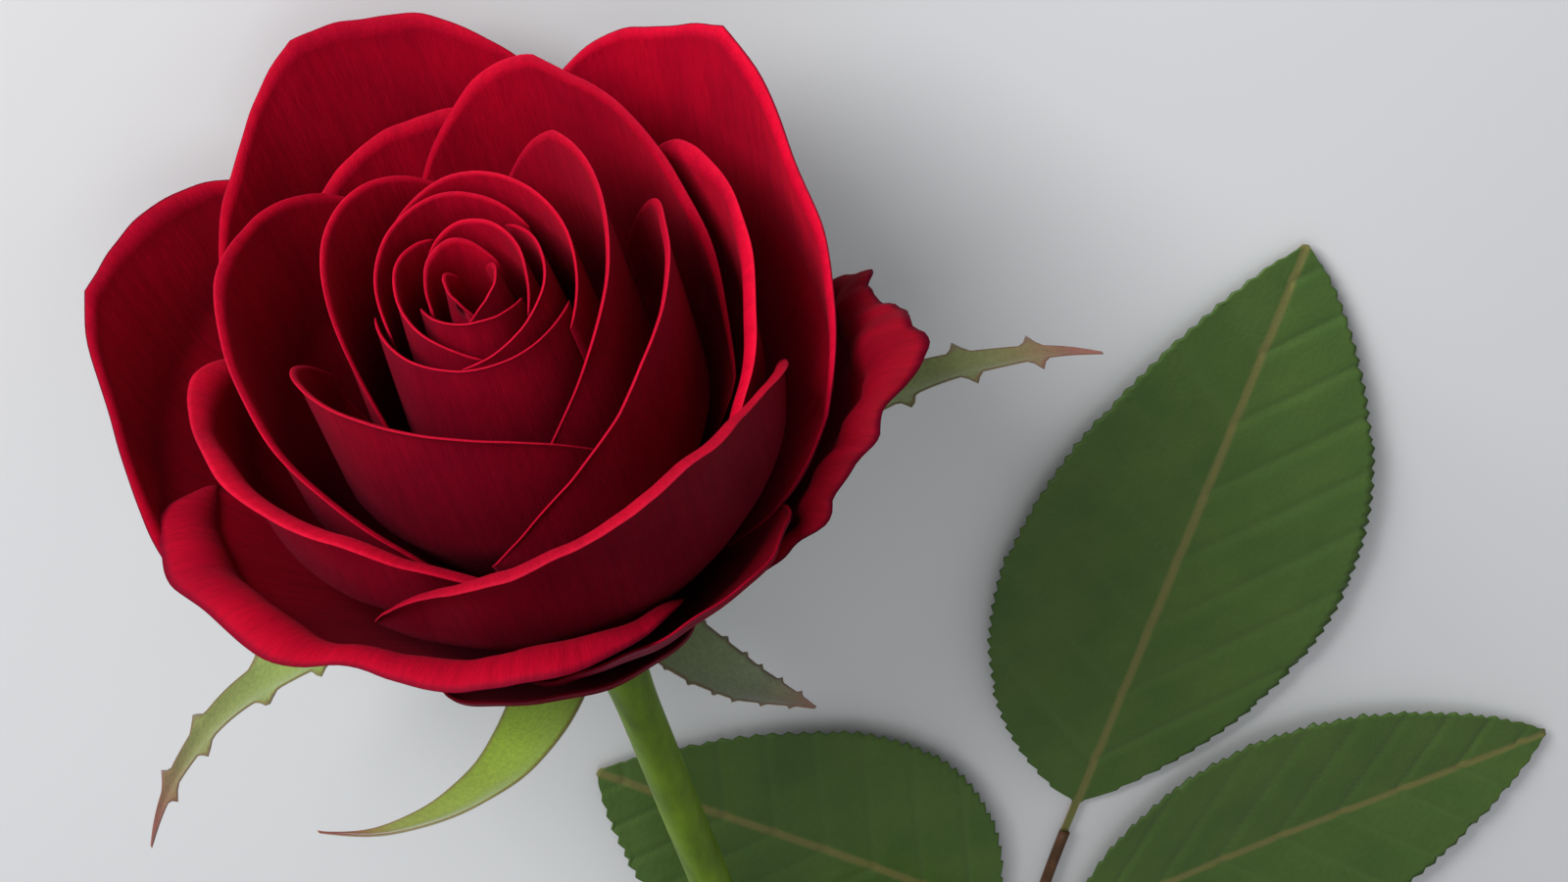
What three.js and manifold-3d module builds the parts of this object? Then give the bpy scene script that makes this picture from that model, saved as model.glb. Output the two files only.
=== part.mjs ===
// A cut rose lying on a flat surface: petals, sepals, receptacle, stamens, stem and one compound leaf.
// Millimetres, +Z up. The surface is z = 0 and the bloom faces -Y. The flower is built in its own
// frame, with the axis of the bloom along +Z and the receptacle's top at 0, and is then laid down.
import * as THREE from "three";
import { mergeVertices } from "three/addons/utils/BufferGeometryUtils.js";
import Module from "manifold-3d";

// Driving dimensions
const GAP = 0.3; // between pieces that touch
const BLOOM_TILT = 14; // degrees that the bloom looks up from the surface it lies on
const HEART_HEIGHT = 60; // rim of the innermost petals above the receptacle
const CROWN_RISE = 8; // rise of the rims round the sunken heart
const CROWN_REACH = 14; // reach at which that rise is complete
const RIM_FALL = 0.26; // fall of the rims per millimetre of reach
const UPPER_FALL = 0.5; // further fall on the side that lies uppermost
const BELLY_HEIGHT = 35; // where a petal's cup ends and its blade begins
const BELLY_START = 3; // cup radius = start + share * reach
const BELLY_SHARE = 0.85;
const CUP_FULLNESS = 1.3; // steepness of the cup at its foot: 1 is a cone, and more is a bowl
const PETAL_THICKNESS = 0.45;
const CLAW_LENGTH = 0.6; // share of its height by which a petal reaches its full width
const TIP_SPREAD = 0.4; // share of a petal's half width that its point takes
const CLAW_WIDTH = 0.4; // width of a petal's foot as a share of its blade
const CLAW_RADIUS = 2.4; // foot of the innermost petal
const CLAW_CLEARANCE = 0.1; // between the feet of three petals, one behind the other
const CLAW_PITCH = 2 * PETAL_THICKNESS + CLAW_CLEARANCE;
const CLAW_SECTOR = 120; // degrees apart at which two feet no longer meet
const RECEPTACLE_DEPTH = 17;
const RECEPTACLE_COLLAR = 0.6; // by which its foot is wider than the stem
const DOME_HEIGHT = 2.5; // of its top, which the petals grow from
const STAMEN_RADIUS = 1.6;
const STAMEN_HEIGHT = 9;
const SEPAL_WIDTH = 8;
const SEPAL_THICKNESS = 0.8;
const SEPAL_SAG = 3; // below the straight line from foot to tip
const SEPAL_FOOT = -2; // height of the sepals' feet on the receptacle
const SEPAL_CLAW = 0.75; // width of a sepal's foot as a share of SEPAL_WIDTH
const SEPAL_SWELL = 0.9; // by which that share grows along the sepal, before the taper
const SEPAL_TAPER = 0.9; // 1 tapers evenly to the tip, and less keeps it broad for longer
const SEPAL_POINT = 0.06; // width of the tip
const STEM_RADIUS = 2.8;
const STEM_LENGTH = 240;
const STEM_DRIFT = 5; // of its cut end to one side
const CUT_ANGLE = 45;
const LEAFLET_THICKNESS = 0.5;
const LEAFLET_FOLD = 2; // rise of a leaflet's edges over its midrib
const RACHIS_RADIUS = 0.9;
const RACHIS_ARCH = 3.5; // rise of the leaf stalk's middle over the surface
const LEAFLET_STALK = 5; // bare stalk at a leaflet's foot
const LEAFLET_STALK_WIDTH = 1.1;
const LEAFLET_BELLY = 0.85; // under 1 puts a leaflet's widest part nearer its tip than its middle
const LEAFLET_FULLNESS = 0.8; // 1 is a sine, and less is a rounder outline
const LEAFLET_SETOFF = 0.8; // further clearance of a side leaflet's foot from the stalk

// The heart: tight petals, each turned on from the one inside it.
const HEART_PETALS = 10;
const HEART_TURN = 144;
const HEART_HALF = 80;
const HEART_START = 2.2;
const HEART_CLEARANCE = 0.2; // between the rims of three petals, one behind the other
const HEART_PITCH = 2 * PETAL_THICKNESS + HEART_CLEARANCE;
const HEART_ROLL = 0.6;
const HEART_CURL = 40;
const HEART_SHOULDER = 0.06; // fall of a rim at its corners, as a share of its height
const OPEN_SHOULDER = 0.4;
const SHOULDER_POWER = 2.4; // 2 is a parabola, and more is flatter at the top
const TUCK = 0.05; // share of its reach by which a petal's edges turn in
const MINIMUM_ROLL = 0.3; // left at the corners of an edge

// The open petals, from the inside out. Angles run counter-clockwise from +X, seen from the front,
// and 90 lies uppermost. In degrees: angle, half width, and curl, the angle the edge turns through.
// In millimetres: reach beyond the heart, slew (the change of reach from the middle to the end),
// rise, radius of the roll, and height of the tip. The rim is highest at lean, as a share of the
// half width.
const OPEN_PETALS = [
  // name, angle, half, reach, slew, rise, roll, curl, lean, tip
  ["inner_1", 310, 86, 2.9, 0, 2, 1.2, 40, 0.1, 0],
  ["inner_2", 168, 90, 4.4, 2.5, 5, 1.4, 40, 0.15, 2],
  ["inner_3", 46, 78, 7.9, -2, 5, 1.8, 45, 0, 0],
  ["inner_4", 138, 74, 10.4, 0, 6, 1.8, 45, 0.15, 0],
  ["middle_1", 348, 72, 15.4, -3, 2, 2.2, 50, -0.1, 1],
  ["middle_2", 219, 60, 14.7, 0, 3, 2, 50, 0.1, 2],
  ["middle_3", 163, 62, 17.9, 0, 3, 3, 60, 0.2, 0],
  ["middle_4", 22, 60, 19.4, -3, 6, 5, 65, 0.15, 0],
  ["middle_5", 266, 50, 20.9, 0, -9, 2.2, 50, 0.1, 0],
  ["middle_6", 101, 60, 22.1, 0, 14, 3.6, 75, 0, 1],
  ["outer_1", 277, 54, 24.4, 0, 4, 2.4, 45, 0, 3],
  ["outer_2", 48, 60, 26.9, -2, 5, 8, 85, 0.15, 0],
  ["outer_3", 193, 58, 27.4, 0, 5, 2.4, 50, 0.15, 6],
  ["outer_4", 336, 54, 33.4, 0, 1, 3, 50, 0, 5],
  ["outer_5", 103, 39, 28.9, 0, -2, 1.8, 50, 0.2, 0],
  ["outer_6", 156, 34, 31.4, 0, -4, 5.5, 95, 0, 2],
  ["outer_7", 78, 34, 31.9, 0, -7, 1.6, 50, 0, 0],
].map(([name, angle, half, reach, slew, rise, roll, curl, lean, tip]) => (
  { name, angle, half, reach, slew, rise, roll, curl, lean, tip }
));

// Sepals: angle of the foot, length, sideways drift of the tip in degrees, height of the tip, and
// breadth as a share of the width above.
const SEPALS = [
  { name: "sepal_1", angle: 342, length: 50, drift: 34, lift: 8, breadth: 1 },
  { name: "sepal_2", angle: 52, length: 34, drift: -26, lift: 2, breadth: 1.5 },
  { name: "sepal_3", angle: 122, length: 22, drift: 4, lift: -3, breadth: 1.2 },
  { name: "sepal_4", angle: 198, length: 56, drift: -22, lift: 11, breadth: 1 },
  { name: "sepal_5", angle: 270, length: 24, drift: 4, lift: 8, breadth: 1 },
];

// The leaf: where its stalk leaves the stem, along the stem from the bloom, its direction on the
// surface, and its leaflets, each by its distance back along the stalk from the stalk's end, side,
// angle to the stalk, length, width and height of the tip.
const LEAF_JOINT = 169;
const LEAF_HEADING = 237;
const RACHIS_LENGTH = 89;
const LEAFLETS = [
  { name: "leaflet_end", back: 0, side: 0, angle: 0, length: 97, width: 52, lift: 1 },
  { name: "leaflet_upper_left", back: 16, side: 1, angle: 73, length: 73, width: 42, lift: 0.8 },
  { name: "leaflet_upper_right", back: 19, side: -1, angle: 59, length: 79, width: 42, lift: 1 },
  { name: "leaflet_lower_left", back: 39, side: 1, angle: 47, length: 38, width: 21, lift: 6 },
  { name: "leaflet_lower_right", back: 43, side: -1, angle: 80, length: 46, width: 28, lift: 1 },
];

const ROUGHNESS = {
  petal: 0.7,
  receptacle: 0.6,
  stamens: 0.8,
  sepal: 0.65,
  stem: 0.55,
  stalk: 0.6,
  leaflet: 0.5,
};
const RECEPTACLE_SIDES = 24;
const STAMEN_SIDES = 12;
const STEM_SIDES = 12;
const STEM_STEPS = 28;
const RACHIS_SIDES = 8;
const RACHIS_STEPS = 14;
const RACHIS_BENDS = 5; // stretches between the points that the stalk's curve passes through
const SEPAL_COLUMNS = 4;
const SEPAL_ROWS = 9;
const LEAFLET_COLUMNS = 4;
const LEAFLET_ROWS = 10;
const SEPAL_LIFT_POWER = 1.5; // 1 is a straight rise to the tip, and more rises nearer the tip
const LEAFLET_SETTLE = 0.5; // share of its length by which a leaflet has come down to its lift
const CUT_ROOM = 10; // side of the block that makes the cut, in stem radii
const CUT_BACK = 2; // distance of the cut's middle from the stem's end, in stem radii
const WELD = 1e-4; // distance under which two points are one
const PETAL_COLOUR = 0x9c0a28;
const RECEPTACLE_COLOUR = 0x5f7f2c;
const STAMEN_COLOUR = 0xc9a13a;
const SEPAL_COLOUR = 0x7c9a35;
const STEM_COLOUR = 0x5f8a33;
const RACHIS_COLOUR = 0x7a5a38;
const LEAFLET_COLOUR = 0x3e5f2a;

const radians = THREE.MathUtils.degToRad;
const ease = (t) => t * t * (3 - 2 * t);
const clamp = THREE.MathUtils.clamp;

function angleBetween(a, b) {
  const turn = Math.abs(a - b) % 360;
  return Math.min(turn, 360 - turn);
}

function material(colour, roughness) {
  return new THREE.MeshStandardMaterial({ color: colour, roughness, metalness: 0 });
}

function mesh(name, geometry, colour, roughness) {
  const made = new THREE.Mesh(geometry, material(colour, roughness));
  made.name = name;
  return made;
}

// A closed sheet of even thickness whose middle surface is pointAt(u, v), with u and v from 0 to 1.
function sheet(pointAt, columns, rows, thickness) {
  const STEP = 1e-3;
  const normalAt = (u, v) => {
    const alongU = pointAt(Math.min(u + STEP, 1), v).sub(pointAt(Math.max(u - STEP, 0), v));
    const alongV = pointAt(u, Math.min(v + STEP, 1)).sub(pointAt(u, Math.max(v - STEP, 0)));
    return alongU.cross(alongV).normalize();
  };
  const positions = [];
  for (const side of [1, -1]) {
    for (let j = 0; j <= rows; j += 1) {
      for (let i = 0; i <= columns; i += 1) {
        const [u, v] = [i / columns, j / rows];
        const offset = normalAt(u, v).multiplyScalar((side * thickness) / 2);
        positions.push(...pointAt(u, v).add(offset).toArray());
      }
    }
  }
  const layer = (columns + 1) * (rows + 1);
  const front = (i, j) => j * (columns + 1) + i;
  const back = (i, j) => layer + front(i, j);
  const index = [];
  const quad = (a, b, c, d) => index.push(a, b, c, a, c, d);
  for (let j = 0; j < rows; j += 1) {
    for (let i = 0; i < columns; i += 1) {
      quad(front(i, j), front(i + 1, j), front(i + 1, j + 1), front(i, j + 1));
      quad(back(i, j), back(i, j + 1), back(i + 1, j + 1), back(i + 1, j));
    }
  }
  for (let i = 0; i < columns; i += 1) {
    quad(front(i, 0), back(i, 0), back(i + 1, 0), front(i + 1, 0));
    quad(front(i + 1, rows), back(i + 1, rows), back(i, rows), front(i, rows));
  }
  for (let j = 0; j < rows; j += 1) {
    quad(front(0, j + 1), back(0, j + 1), back(0, j), front(0, j));
    quad(front(columns, j), back(columns, j), back(columns, j + 1), front(columns, j + 1));
  }
  const geometry = new THREE.BufferGeometry();
  geometry.setAttribute("position", new THREE.Float32BufferAttribute(positions, 3));
  geometry.setIndex(index);
  return geometry;
}

// Petals

const ROLL_SHARE = 0.25; // share of the rows that the rolled edge takes
const TIP_POWER = 1.5; // 1 is a straight-sided tip, and more is a sharper one
const ROLL_POWER = 4; // more keeps the roll even nearer to the corners
const PETAL_COLUMNS = 10;
const HEART_ROWS = 4;
const OPEN_ROWS = 12;

function allPetals() {
  const petals = [];
  const heartEdge = HEART_START + (HEART_PETALS - 1) * HEART_PITCH;
  for (let k = 0; k < HEART_PETALS; k += 1) {
    petals.push({
      name: `heart_${k + 1}`,
      angle: (k * HEART_TURN) % 360,
      half: HEART_HALF,
      reach: HEART_START + k * HEART_PITCH,
      slew: 0,
      rise: 0,
      roll: HEART_ROLL,
      curl: HEART_CURL,
      lean: 0,
      tip: 0,
      shoulder: HEART_SHOULDER,
      rows: HEART_ROWS,
    });
  }
  petals.push(...OPEN_PETALS.map((petal) => ({
    ...petal,
    reach: heartEdge + petal.reach,
    shoulder: OPEN_SHOULDER,
    rows: OPEN_ROWS,
  })));
  petals.forEach((petal, k) => {
    petal.foot = CLAW_RADIUS;
    for (const inner of petals.slice(0, k)) {
      const apart = angleBetween(inner.angle, petal.angle) / CLAW_SECTOR;
      petal.foot = Math.max(petal.foot, inner.foot + CLAW_PITCH * clamp(1 - apart, 0, 1));
    }
  });
  return petals;
}

const PETALS = allPetals();
const RECEPTACLE_RADIUS = Math.max(...PETALS.map((petal) => petal.foot)) + PETAL_THICKNESS;

function domeHeight(radius) {
  return DOME_HEIGHT * (1 - (radius / RECEPTACLE_RADIUS) ** 2);
}

function rimHeight(petal, reach, angle) {
  const uppermost = (1 + Math.sin(radians(angle))) / 2;
  const crown = CROWN_RISE * Math.min(1, reach / CROWN_REACH);
  return HEART_HEIGHT + crown + petal.rise - reach * (RIM_FALL + UPPER_FALL * uppermost);
}

function petalRadius(petal, reach, height) {
  const belly = BELLY_START + BELLY_SHARE * reach;
  const start = domeHeight(petal.foot);
  if (height < BELLY_HEIGHT) {
    const t = clamp((height - start) / (BELLY_HEIGHT - start), 0, 1);
    return petal.foot + (belly - petal.foot) * t * (CUP_FULLNESS - (CUP_FULLNESS - 1) * t);
  }
  const t = (height - BELLY_HEIGHT) / (HEART_HEIGHT - BELLY_HEIGHT);
  return belly + (reach - belly) * t;
}

function petalPoint(petal, u, v) {
  const across = 2 * u - 1;
  const reach = petal.reach + petal.slew * across;
  const foot = domeHeight(petal.foot) + GAP + PETAL_THICKNESS;
  const blade = clamp(v / (1 - ROLL_SHARE), 0, 1);
  const width = CLAW_WIDTH + (1 - CLAW_WIDTH) * ease(clamp(blade / CLAW_LENGTH, 0, 1));
  const angle = petal.angle + petal.half * across * width;
  const peak = petal.tip * Math.max(0, 1 - Math.abs(across - petal.lean) / TIP_SPREAD) ** TIP_POWER;
  const roll = petal.roll * (1 - across ** ROLL_POWER) + MINIMUM_ROLL;
  const curl = radians(petal.curl);
  const rim = rimHeight(petal, reach, angle) - roll * Math.sin(Math.min(curl, Math.PI / 2));
  const fromPeak = Math.abs(across - petal.lean * (1 - across ** 2));
  const top = rim * (1 - petal.shoulder * fromPeak ** SHOULDER_POWER) + peak;
  const height = foot + (top - foot) * blade;
  const cup = petalRadius(petal, reach, height) - petal.foot;
  const radius = petal.foot + cup * (1 - TUCK * across ** 2);
  const rolled = clamp((v - 1 + ROLL_SHARE) / ROLL_SHARE, 0, 1) * curl;
  const turned = radius + roll * (1 - Math.cos(rolled));
  return new THREE.Vector3(
    turned * Math.cos(radians(angle)),
    turned * Math.sin(radians(angle)),
    height + roll * Math.sin(rolled),
  );
}

function petalMesh(petal) {
  const geometry = sheet((u, v) => petalPoint(petal, u, v), PETAL_COLUMNS, petal.rows, PETAL_THICKNESS);
  return mesh(`petal_${petal.name}`, geometry, PETAL_COLOUR, ROUGHNESS.petal);
}

// Receptacle, stamens and sepals

function turned(name, outline, sides, colour, roughness) {
  const geometry = new THREE.LatheGeometry(outline.map(([x, y]) => new THREE.Vector2(x, y)), sides);
  return mesh(name, geometry.rotateX(Math.PI / 2), colour, roughness);
}

// Radii are shares of RECEPTACLE_RADIUS and heights are shares of the depth below the dome.
const RECEPTACLE_WAIST = [0.72, 0.76];
const RECEPTACLE_SWELL = [1.02, 0.41];
const RECEPTACLE_LIP = [1, 0.06];
const DOME_SHARES = [1, 0.75, 0.5, 0.25];

function receptacle() {
  const bands = [RECEPTACLE_WAIST, RECEPTACLE_SWELL, RECEPTACLE_LIP];
  const outline = [
    [0, -RECEPTACLE_DEPTH],
    [STEM_RADIUS + RECEPTACLE_COLLAR, -RECEPTACLE_DEPTH],
    ...bands.map(([radius, depth]) => [radius * RECEPTACLE_RADIUS, -depth * RECEPTACLE_DEPTH]),
    ...DOME_SHARES.map((share) => [share * RECEPTACLE_RADIUS, domeHeight(share * RECEPTACLE_RADIUS)]),
    [0, DOME_HEIGHT],
  ];
  return turned("receptacle", outline, RECEPTACLE_SIDES, RECEPTACLE_COLOUR, ROUGHNESS.receptacle);
}

// Radii are shares of STAMEN_RADIUS and heights are shares of STAMEN_HEIGHT.
const STAMEN_OUTLINE = [
  [0, 0],
  [0.8, 0],
  [1, 0.45],
  [0.75, 0.9],
  [0, 1],
];

function stamens() {
  const base = DOME_HEIGHT + GAP;
  const outline = STAMEN_OUTLINE.map(([radius, height]) => [
    radius * STAMEN_RADIUS,
    base + height * STAMEN_HEIGHT,
  ]);
  return turned("stamens", outline, STAMEN_SIDES, STAMEN_COLOUR, ROUGHNESS.stamens);
}

function sepalPoint(sepal, u, v) {
  const across = (2 * u - 1) * (SEPAL_WIDTH / 2);
  const taper = (1 - v) ** (SEPAL_TAPER * sepal.breadth);
  const width = sepal.breadth * (SEPAL_CLAW + SEPAL_SWELL * v) * taper + SEPAL_POINT;
  const radius = RECEPTACLE_RADIUS + GAP + SEPAL_THICKNESS + sepal.length * v;
  const sag = Math.sin(Math.PI * v) * SEPAL_SAG;
  const angle = radians(sepal.angle + sepal.drift * v * v);
  const side = across * width;
  return new THREE.Vector3(
    radius * Math.cos(angle) - side * Math.sin(angle),
    radius * Math.sin(angle) + side * Math.cos(angle),
    SEPAL_FOOT + sepal.lift * v ** SEPAL_LIFT_POWER - sag,
  );
}

function sepalMesh(sepal) {
  const pointAt = (u, v) => sepalPoint(sepal, 1 - u, v);
  const geometry = sheet(pointAt, SEPAL_COLUMNS, SEPAL_ROWS, SEPAL_THICKNESS);
  return mesh(sepal.name, geometry, SEPAL_COLOUR, ROUGHNESS.sepal);
}

// Stem and leaf, in the frame of the surface, with the foot of the receptacle at (0, 0, drop)

// Points of the stem between its neck and its cut: sideways drift as a share of STEM_DRIFT, distance
// as a share of the landing, where the slope of the bloom meets the surface, and height as a share of
// the drop.
const STEM_BENDS = [
  [0, 0.35, 0.65],
  [0, 0.7, 0.31],
  [0.2, 1.05, 0.08],
  [0.6, 1.4, 0],
];

function stemRoute(drop) {
  const slope = Math.tan(radians(BLOOM_TILT));
  const fall = drop - STEM_RADIUS;
  const points = [
    new THREE.Vector3(0, GAP, drop - GAP * slope),
    ...STEM_BENDS.map(([drift, distance, height]) => new THREE.Vector3(
      drift * STEM_DRIFT,
      (distance * fall) / slope,
      STEM_RADIUS + height * fall,
    )),
    new THREE.Vector3(STEM_DRIFT, STEM_LENGTH, STEM_RADIUS),
  ];
  return new THREE.CatmullRomCurve3(points);
}

function ring(radius, sides) {
  const shape = new THREE.Shape();
  for (let i = 0; i < sides; i += 1) {
    const turn = (2 * Math.PI * i) / sides;
    const [x, y] = [radius * Math.cos(turn), radius * Math.sin(turn)];
    if (i === 0) shape.moveTo(x, y);
    else shape.lineTo(x, y);
  }
  shape.closePath();
  return shape;
}

const wasm = await Module();
wasm.setup();

function solid(geometry) {
  const bare = new THREE.BufferGeometry();
  bare.setAttribute("position", geometry.getAttribute("position"));
  if (geometry.index) bare.setIndex(geometry.index);
  const merged = mergeVertices(bare, WELD);
  return new wasm.Manifold(
    new wasm.Mesh({
      numProp: 3,
      vertProperties: merged.attributes.position.array,
      triVerts: new Uint32Array(merged.index.array),
    }),
  );
}

function geometryOf(body) {
  const made = body.getMesh();
  const geometry = new THREE.BufferGeometry();
  geometry.setAttribute("position", new THREE.BufferAttribute(made.vertProperties, 3));
  geometry.setIndex(new THREE.BufferAttribute(made.triVerts, 1));
  return geometry;
}

function stemMesh(drop) {
  const route = stemRoute(drop);
  const tube = new THREE.ExtrudeGeometry(ring(STEM_RADIUS, STEM_SIDES), {
    steps: STEM_STEPS,
    bevelEnabled: false,
    extrudePath: route,
  });
  const room = STEM_RADIUS * CUT_ROOM;
  const block = new THREE.BoxGeometry(room, room, room * 2);
  block.translate(0, room / 2, 0);
  block.rotateX(-radians(CUT_ANGLE));
  block.translate(route.getPoint(1).x, STEM_LENGTH - STEM_RADIUS * CUT_BACK, STEM_RADIUS);
  return mesh("stem", geometryOf(solid(tube).subtract(solid(block))), STEM_COLOUR, ROUGHNESS.stem);
}

function leafFrame(drop) {
  const route = stemRoute(drop);
  const start = route.getPointAt(LEAF_JOINT / route.getLength());
  const heading = radians(LEAF_HEADING);
  const forward = new THREE.Vector3(Math.cos(heading), Math.sin(heading), 0);
  return { start, forward };
}

// The stalk's foot stands clear of the stem's side by GAP, at the height of the stem's middle.
const RACHIS_FOOT_LEVEL = STEM_RADIUS - RACHIS_RADIUS;
const RACHIS_LANDING = 6; // 1 comes down evenly along the stalk, and more comes down near its foot

function rachisPoint(drop, along) {
  const { start, forward } = leafFrame(drop);
  const clear = STEM_RADIUS + GAP + RACHIS_RADIUS * Math.abs(forward.y);
  const share = along / RACHIS_LENGTH;
  const point = start.clone().addScaledVector(forward, clear / Math.abs(forward.x) + along);
  const arch = RACHIS_ARCH * Math.sin(Math.PI * share) ** 2;
  point.z = RACHIS_RADIUS + RACHIS_FOOT_LEVEL * (1 - share) ** RACHIS_LANDING + arch;
  return point;
}

function rachisMesh(drop) {
  const step = RACHIS_LENGTH / RACHIS_BENDS;
  const points = Array.from({ length: RACHIS_BENDS + 1 }, (_, k) => rachisPoint(drop, k * step));
  const geometry = new THREE.ExtrudeGeometry(ring(RACHIS_RADIUS, RACHIS_SIDES), {
    steps: RACHIS_STEPS,
    bevelEnabled: false,
    extrudePath: new THREE.CatmullRomCurve3(points),
  });
  return mesh("leaf_stalk", geometry, RACHIS_COLOUR, ROUGHNESS.stalk);
}

function leafletMesh(drop, leaflet) {
  const { forward } = leafFrame(drop);
  const turn = radians(leaflet.side * leaflet.angle);
  const axis = forward.clone().applyAxisAngle(new THREE.Vector3(0, 0, 1), turn);
  const across = new THREE.Vector3(-axis.y, axis.x, 0);
  const setoff = leaflet.side === 0 ? 0 : LEAFLET_SETOFF;
  const along = RACHIS_LENGTH - leaflet.back;
  const foot = rachisPoint(drop, along).addScaledVector(axis, RACHIS_RADIUS + GAP + setoff);
  const pointAt = (u, v) => {
    const side = 2 * (1 - u) - 1;
    const bare = LEAFLET_STALK / leaflet.length;
    const blade = clamp((v - bare) / (1 - bare), 0, 1);
    const bow = Math.sin(Math.PI * blade ** LEAFLET_BELLY) ** LEAFLET_FULLNESS;
    const width = Math.max(leaflet.width * bow, LEAFLET_STALK_WIDTH);
    const point = foot.clone().addScaledVector(axis, leaflet.length * v);
    point.addScaledVector(across, (side * width) / 2);
    const settle = ease(clamp(v / LEAFLET_SETTLE, 0, 1));
    const fold = LEAFLET_FOLD * Math.abs(side) * Math.sin(Math.PI * blade);
    point.z = foot.z * (1 - settle) + leaflet.lift * settle + fold;
    return point;
  };
  const geometry = sheet(pointAt, LEAFLET_COLUMNS, LEAFLET_ROWS, LEAFLET_THICKNESS);
  return mesh(leaflet.name, geometry, LEAFLET_COLOUR, ROUGHNESS.leaflet);
}

// Assembly

function bloom() {
  const group = new THREE.Group();
  group.add(receptacle(), stamens());
  group.add(...PETALS.map(petalMesh), ...SEPALS.map(sepalMesh));
  group.rotation.x = radians(90 - BLOOM_TILT);
  return group;
}

function rose() {
  const flower = bloom();
  flower.updateMatrixWorld(true);
  const lowest = new THREE.Box3().setFromObject(flower, true).min.z;
  flower.position.z = -lowest;
  flower.updateMatrixWorld(true);
  const neck = new THREE.Vector3(0, 0, -RECEPTACLE_DEPTH).applyMatrix4(flower.matrixWorld);
  const greenery = new THREE.Group();
  greenery.add(stemMesh(neck.z), rachisMesh(neck.z));
  greenery.add(...LEAFLETS.map((leaflet) => leafletMesh(neck.z, leaflet)));
  greenery.position.y = neck.y;
  const laid = new THREE.Group();
  laid.add(flower, greenery);
  laid.updateMatrixWorld(true);
  const box = new THREE.Box3().setFromObject(laid, true);
  laid.position.set(-(box.min.x + box.max.x) / 2, -(box.min.y + box.max.y) / 2, -box.min.z);
  return laid;
}

const part = new THREE.Group();
part.add(rose());

export default part;
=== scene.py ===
"""A cut red rose lying on a pale floor: its fine petals, sepals, leaf and stem, and how they look.

The flower is shaped in its own frame, in millimetres, with the bloom's axis along +Z and the top of
the receptacle at 0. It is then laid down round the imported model's receptacle.
"""

import bpy
import numpy as np
from mathutils import Matrix, Vector


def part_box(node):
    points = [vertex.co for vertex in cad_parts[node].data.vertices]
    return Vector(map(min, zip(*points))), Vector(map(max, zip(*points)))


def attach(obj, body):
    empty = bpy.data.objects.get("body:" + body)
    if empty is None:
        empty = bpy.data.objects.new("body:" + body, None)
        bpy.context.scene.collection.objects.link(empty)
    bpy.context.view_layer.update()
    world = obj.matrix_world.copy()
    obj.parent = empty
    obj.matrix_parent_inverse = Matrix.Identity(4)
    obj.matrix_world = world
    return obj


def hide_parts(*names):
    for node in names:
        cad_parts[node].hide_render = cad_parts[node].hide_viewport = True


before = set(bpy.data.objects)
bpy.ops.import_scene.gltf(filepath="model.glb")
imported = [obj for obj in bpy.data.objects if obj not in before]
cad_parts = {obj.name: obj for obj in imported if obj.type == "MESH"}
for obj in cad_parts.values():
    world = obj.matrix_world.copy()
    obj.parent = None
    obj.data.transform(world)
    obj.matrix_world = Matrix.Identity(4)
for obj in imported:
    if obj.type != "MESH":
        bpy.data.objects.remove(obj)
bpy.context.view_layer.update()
MM = 0.001

# Driving dimensions, in millimetres and degrees
GAP = 0.3
BLOOM_TILT = 14
HEART_HEIGHT = 60
CROWN_RISE = 8
CROWN_REACH = 14
RIM_FALL = 0.26
UPPER_FALL = 0.5
BELLY_HEIGHT = 35
BELLY_START = 3
BELLY_SHARE = 0.85
CUP_FULLNESS = 1.3
PETAL_THICKNESS = 0.45
CLAW_WIDTH = 0.4
CLAW_LENGTH = 0.6
CLAW_RADIUS = 2.4
CLAW_CLEARANCE = 0.1
CLAW_PITCH = 2 * PETAL_THICKNESS + CLAW_CLEARANCE
CLAW_SECTOR = 120
TUCK = 0.05
DOME_HEIGHT = 2.5
RECEPTACLE_DEPTH = 17
RECEPTACLE_COLLAR = 0.6
SEPAL_WIDTH = 8
SEPAL_THICKNESS = 0.8
SEPAL_SAG = 3
SEPAL_FOOT = -2
STEM_RADIUS = 2.8
STEM_LENGTH = 240
LEAFLET_THICKNESS = 0.5
LEAFLET_FOLD = 2
LEAFLET_STALK = 5
RACHIS_RADIUS = 0.9
RACHIS_ARCH = 3.5
RACHIS_LANDING = 6

HEART_PETALS = 10
HEART_TURN = 144
HEART_HALF = 80
HEART_START = 2.2
HEART_CLEARANCE = 0.2
HEART_PITCH = 2 * PETAL_THICKNESS + HEART_CLEARANCE
HEART_EDGE = HEART_START + (HEART_PETALS - 1) * HEART_PITCH
HEART_ROLL = 0.6
HEART_CURL = 40
HEART_SHOULDER = 0.06
OPEN_SHOULDER = 0.4
SHOULDER_POWER = 2.4
MINIMUM_ROLL = 0.3
TIP_SPREAD = 0.4

ROLL_POWER = 4  # more keeps the turned edge even nearer to a petal's corners
TIP_POWER = 1.5  # 1 is a straight-sided tip, and more is a sharper one

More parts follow.
